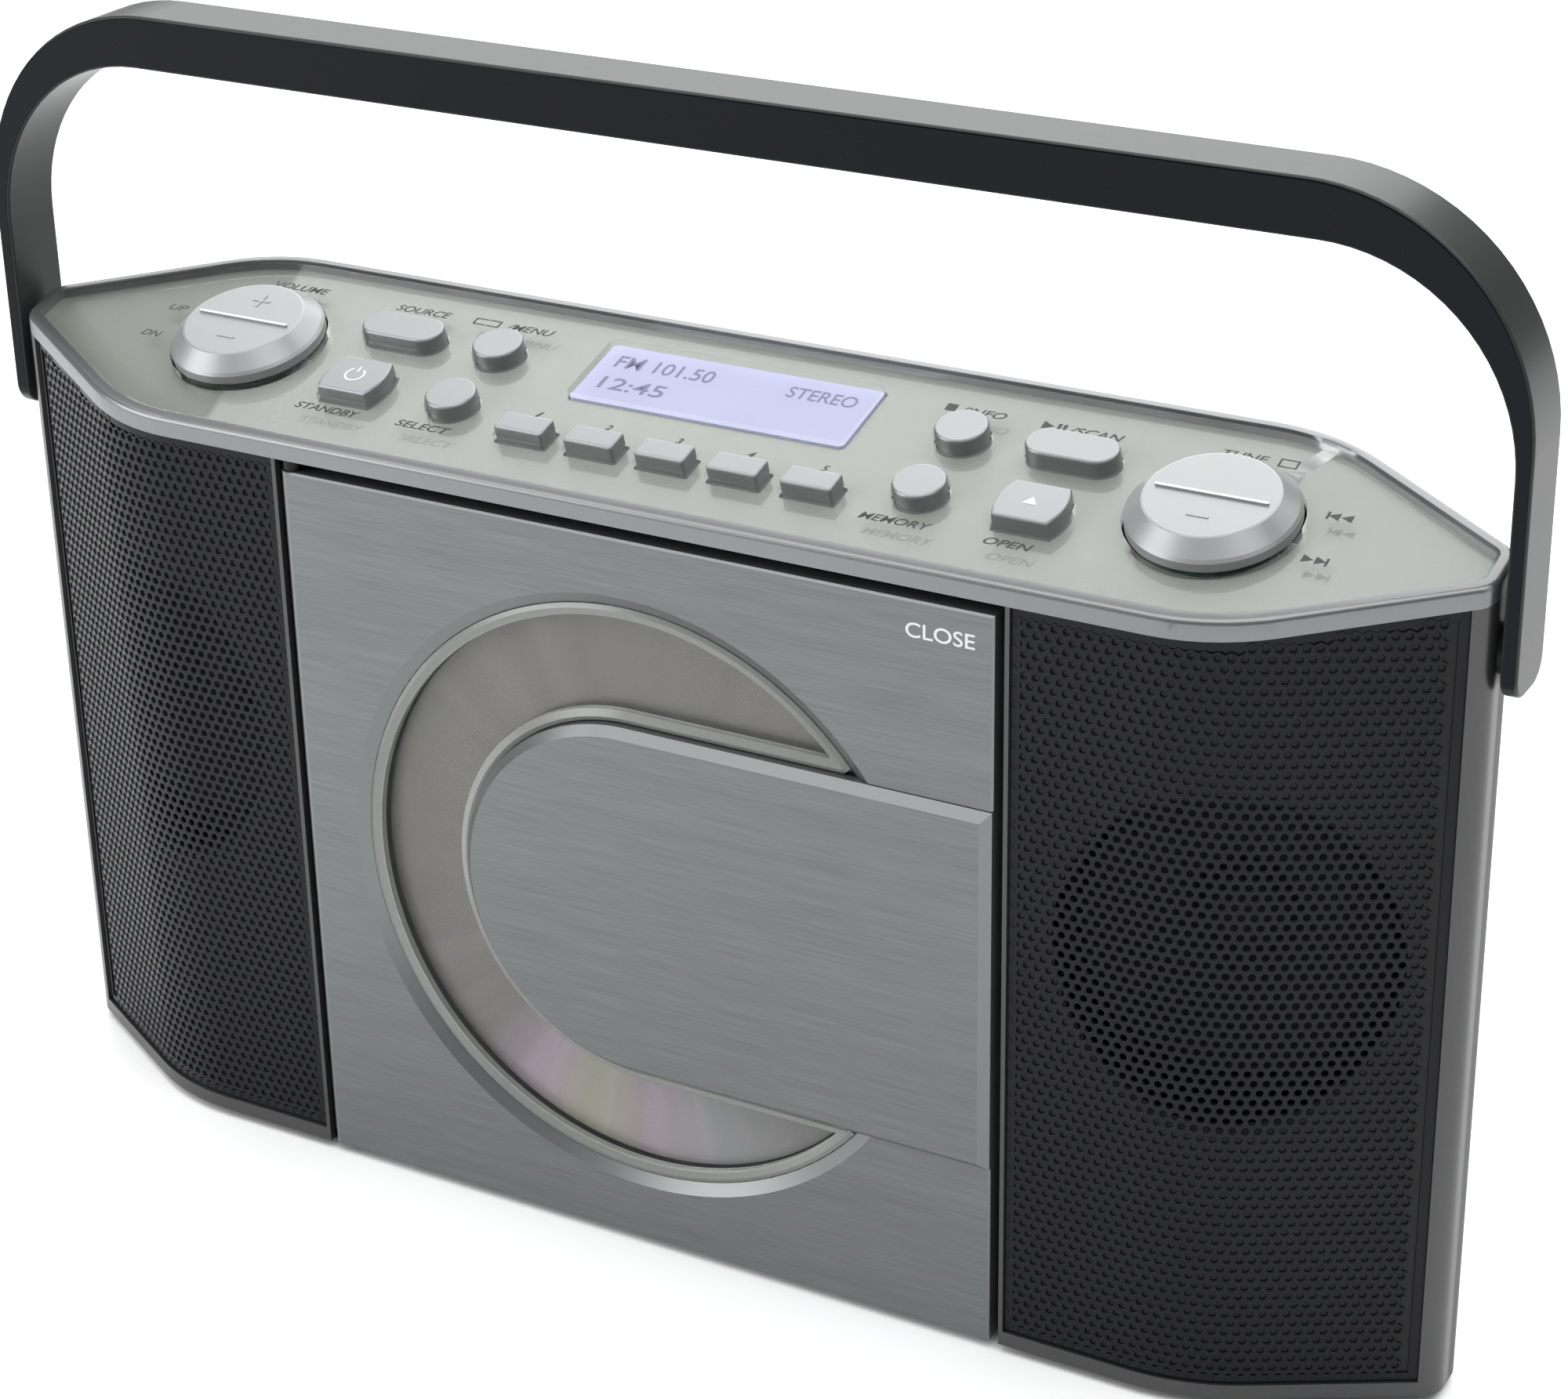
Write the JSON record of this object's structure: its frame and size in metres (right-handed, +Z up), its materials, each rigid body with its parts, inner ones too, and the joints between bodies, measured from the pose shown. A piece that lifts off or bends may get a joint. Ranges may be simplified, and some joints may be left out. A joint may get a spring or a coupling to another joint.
{
  "type": "portable disc player and radio",
  "caption": "Slim portable disc player and radio: front disc door with round window and tongue, perforated side grilles, sloping key deck and a bail handle.",
  "frame": {"origin": "on the floor under the middle of the bounding box", "axes": "+X to the set's right seen from the front, +Y from its front to its back, +Z up"},
  "size_m": [0.3304, 0.0662, 0.2363],
  "materials": {
    "gunmetal": "metallic gunmetal paint",
    "rear_plastic": "fine grained black",
    "grille_steel": "perforated sheet, satin dark grey paint",
    "clear_plate": "clear acrylic over printed legends",
    "door_window": "clear polycarbonate",
    "display": "pale violet liquid crystal display",
    "inner_plastic": "moulded black",
    "circuit_board": "green solder mask",
    "speaker_steel": "black paint",
    "speaker_rubber": "moulded",
    "speaker_paper": "pressed black pulp",
    "ferrite": "dark sintered ferrite",
    "motor_steel": "plated",
    "transformer": "varnished laminations and winding",
    "foot_rubber": "moulded",
    "handle_gloss": "high gloss front, satin edges",
    "door_metal": "brushed along its width",
    "tongue": "dark metallic",
    "hub_plastic": "moulded black",
    "disc": "mirror-coated, faint colours",
    "rocker_silver": "satin silver paint",
    "key_silver": "satin silver plating",
    "aerial_chrome": "bright plating"
  },
  "bodies": {
    "housing": {"battery_box": "inner_plastic", "battery_contacts": "motor_steel", "board_posts": "inner_plastic", "case_screws": "motor_steel", "deck_plate": "clear_plate", "disc_well": "inner_plastic", "display": "display", "display_frame": "inner_plastic", "feet": "foot_rubber", "front_shell": "gunmetal", "grille_frame_left": "gunmetal", "grille_frame_right": "gunmetal", "grille_left": "grille_steel", "grille_right": "grille_steel", "handle_washers": "inner_plastic", "headphone_jack": "inner_plastic", "key_board": "circuit_board", "main_board": "circuit_board", "mains_inlet": "inner_plastic", "power_transformer": "transformer", "rear_shell": "rear_plastic", "rocker_boards": "circuit_board", "sled_motor": "motor_steel", "sled_rails": "motor_steel", "speaker_cones": "speaker_paper", "speaker_frames": "speaker_steel", "speaker_magnets": "ferrite", "speaker_surrounds": "speaker_rubber", "spindle_motor": "motor_steel", "top_rim": "gunmetal"},
    "handle": {"handle": "handle_gloss"},
    "door": {"door_panel": "door_metal", "door_tongue": "tongue", "door_window": "door_window"},
    "turntable": {"turntable": "hub_plastic", "disc": "disc"},
    "pickup": {"pickup": "inner_plastic"},
    "lead_screw": {"lead_screw": "motor_steel"},
    "latch": {"latch": "inner_plastic"},
    "rocker_volume": {"rocker_volume": "rocker_silver"},
    "rocker_tune": {"rocker_tune": "rocker_silver"},
    "aerial_knuckle": {"aerial_knuckle": "aerial_chrome"},
    "aerial_outer": {"aerial_outer": "aerial_chrome"},
    "aerial_middle": {"aerial_middle": "aerial_chrome"},
    "aerial_tip": {"aerial_tip": "aerial_chrome"},
    "battery_door": {"battery_door": "rear_plastic"},
    "key_source": {"key_source": "key_silver"},
    "key_standby": {"key_standby": "key_silver"},
    "key_menu": {"key_menu": "key_silver"},
    "key_select": {"key_select": "key_silver"},
    "key_info": {"key_info": "key_silver"},
    "key_memory": {"key_memory": "key_silver"},
    "key_play": {"key_play": "key_silver"},
    "key_open": {"key_open": "key_silver"},
    "key_preset_1": {"key_preset_1": "key_silver"},
    "key_preset_2": {"key_preset_2": "key_silver"},
    "key_preset_3": {"key_preset_3": "key_silver"},
    "key_preset_4": {"key_preset_4": "key_silver"},
    "key_preset_5": {"key_preset_5": "key_silver"}
  },
  "joints": [
    {"name": "handle_fold", "type": "hinge", "parent": "housing", "child": "handle", "pos_m": [0, -0.0002, 0.155], "axis": [-1, 0, 0], "range_deg": [0, 140]},
    {"name": "door_swing", "type": "hinge", "parent": "housing", "child": "door", "pos_m": [-0.0767, -0.0289, 0.08], "axis": [0, 0, -1], "range_deg": [0, 75]},
    {"name": "disc_spin", "type": "hinge", "parent": "housing", "child": "turntable", "pos_m": [-0.0009, -0.026, 0.0794], "axis": [0, 1, 0], "continuous": true},
    {"name": "pickup_travel", "type": "slide", "parent": "housing", "child": "pickup", "axis": [1, 0, 0], "range_m": [0, 0.034]},
    {"name": "lead_screw_turn", "type": "hinge", "parent": "housing", "child": "lead_screw", "pos_m": [0.036, -0.016, 0.0524], "axis": [1, 0, 0], "range_deg": [-20, 6150]},
    {"name": "latch_slide", "type": "slide", "parent": "housing", "child": "latch", "axis": [0, 0, -1], "range_m": [0, 0.002]},
    {"name": "volume_rock", "type": "hinge", "parent": "housing", "child": "rocker_volume", "pos_m": [-0.1062, -0.00056, 0.16557], "axis": [1, 0, 0], "range_deg": [-4, 4], "stiffness_Nm_per_rad": 0.4},
    {"name": "tune_rock", "type": "hinge", "parent": "housing", "child": "rocker_tune", "pos_m": [0.1062, -0.00056, 0.16557], "axis": [1, 0, 0], "range_deg": [-4, 4], "stiffness_Nm_per_rad": 0.4},
    {"name": "aerial_turn", "type": "hinge", "parent": "housing", "child": "aerial_knuckle", "pos_m": [-0.096, 0.0305, 0.15], "axis": [0, -1, 0], "range_deg": [0, 180]},
    {"name": "aerial_tilt", "type": "hinge", "parent": "aerial_knuckle", "child": "aerial_outer", "pos_m": [-0.096, 0.0305, 0.15], "axis": [0, 0, 1], "range_deg": [0, 90]},
    {"name": "aerial_slide_1", "type": "slide", "parent": "aerial_outer", "child": "aerial_middle", "axis": [1, 0, 0], "range_m": [0, 0.16]},
    {"name": "aerial_slide_2", "type": "slide", "parent": "aerial_middle", "child": "aerial_tip", "axis": [1, 0, 0], "range_m": [0, 0.16]},
    {"name": "battery_door_off", "type": "slide", "parent": "housing", "child": "battery_door", "axis": [0, 1, 0], "range_m": [0, 0.05]},
    {"name": "key_source_press", "type": "slide", "parent": "housing", "child": "key_source", "axis": [0, 0.2706, -0.9627], "range_m": [0, 0.0008], "stiffness_N_per_m": 800, "springref_m": -0.0005},
    {"name": "key_standby_press", "type": "slide", "parent": "housing", "child": "key_standby", "axis": [0, 0.2706, -0.9627], "range_m": [0, 0.0008], "stiffness_N_per_m": 800, "springref_m": -0.0005},
    {"name": "key_menu_press", "type": "slide", "parent": "housing", "child": "key_menu", "axis": [0, 0.2706, -0.9627], "range_m": [0, 0.0008], "stiffness_N_per_m": 800, "springref_m": -0.0005},
    {"name": "key_select_press", "type": "slide", "parent": "housing", "child": "key_select", "axis": [0, 0.2706, -0.9627], "range_m": [0, 0.0008], "stiffness_N_per_m": 800, "springref_m": -0.0005},
    {"name": "key_info_press", "type": "slide", "parent": "housing", "child": "key_info", "axis": [0, 0.2706, -0.9627], "range_m": [0, 0.0008], "stiffness_N_per_m": 800, "springref_m": -0.0005},
    {"name": "key_memory_press", "type": "slide", "parent": "housing", "child": "key_memory", "axis": [0, 0.2706, -0.9627], "range_m": [0, 0.0008], "stiffness_N_per_m": 800, "springref_m": -0.0005},
    {"name": "key_play_press", "type": "slide", "parent": "housing", "child": "key_play", "axis": [0, 0.2706, -0.9627], "range_m": [0, 0.0008], "stiffness_N_per_m": 800, "springref_m": -0.0005},
    {"name": "key_open_press", "type": "slide", "parent": "housing", "child": "key_open", "axis": [0, 0.2706, -0.9627], "range_m": [0, 0.002], "stiffness_N_per_m": 800, "springref_m": -0.0005},
    {"name": "key_preset_1_press", "type": "slide", "parent": "housing", "child": "key_preset_1", "axis": [0, 0.2706, -0.9627], "range_m": [0, 0.0008], "stiffness_N_per_m": 800, "springref_m": -0.0005},
    {"name": "key_preset_2_press", "type": "slide", "parent": "housing", "child": "key_preset_2", "axis": [0, 0.2706, -0.9627], "range_m": [0, 0.0008], "stiffness_N_per_m": 800, "springref_m": -0.0005},
    {"name": "key_preset_3_press", "type": "slide", "parent": "housing", "child": "key_preset_3", "axis": [0, 0.2706, -0.9627], "range_m": [0, 0.0008], "stiffness_N_per_m": 800, "springref_m": -0.0005},
    {"name": "key_preset_4_press", "type": "slide", "parent": "housing", "child": "key_preset_4", "axis": [0, 0.2706, -0.9627], "range_m": [0, 0.0008], "stiffness_N_per_m": 800, "springref_m": -0.0005},
    {"name": "key_preset_5_press", "type": "slide", "parent": "housing", "child": "key_preset_5", "axis": [0, 0.2706, -0.9627], "range_m": [0, 0.0008], "stiffness_N_per_m": 800, "springref_m": -0.0005}
  ],
  "couplings": [
    {"joint": "latch_slide", "follows": "key_open_press", "ratio": 1},
    {"joint": "lead_screw_turn", "follows": "pickup_travel", "rad_per_m": 3141.6}
  ]
}
